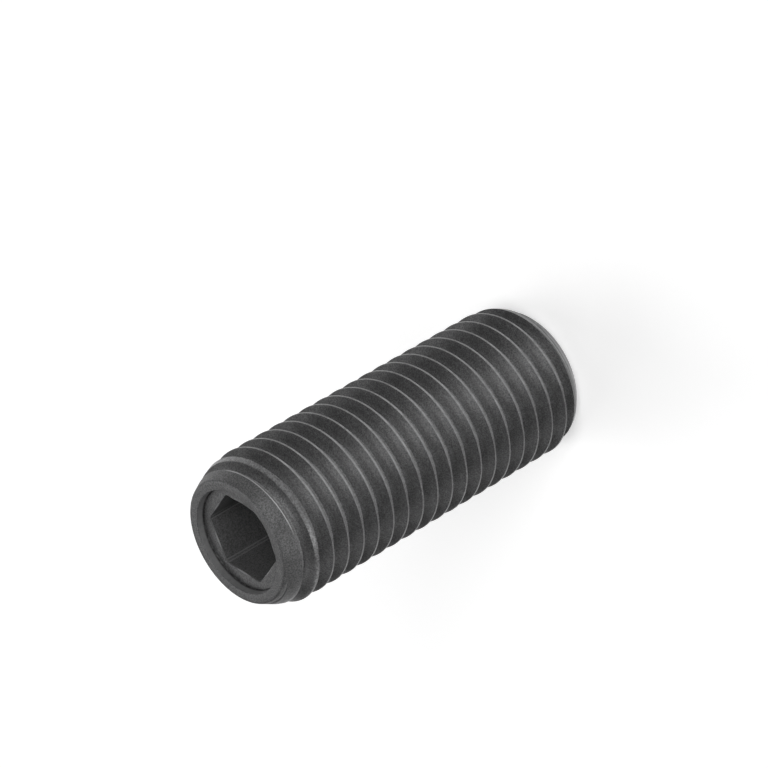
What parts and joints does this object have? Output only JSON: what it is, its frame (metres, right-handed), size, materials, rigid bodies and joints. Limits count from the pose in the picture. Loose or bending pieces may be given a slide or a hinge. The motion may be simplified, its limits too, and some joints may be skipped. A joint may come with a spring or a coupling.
{
  "type": "hexagon socket grub screw",
  "caption": "Headless steel grub screw with a coarse right-hand thread, a hexagon socket inside a raised lip and a flat point.",
  "frame": {"origin": "centre of the flat point, on the surface the screw stands on", "axes": "+Z along the screw, from the point to the socket; two corners of the hexagon lie on the X axis"},
  "size_m": [0.0156, 0.0156, 0.0403],
  "materials": {
    "black_oxide_steel": "satin black oxide, with lighter metal along the crests"
  },
  "bodies": {
    "root": {"set_screw": "black_oxide_steel"}
  },
  "joints": []
}
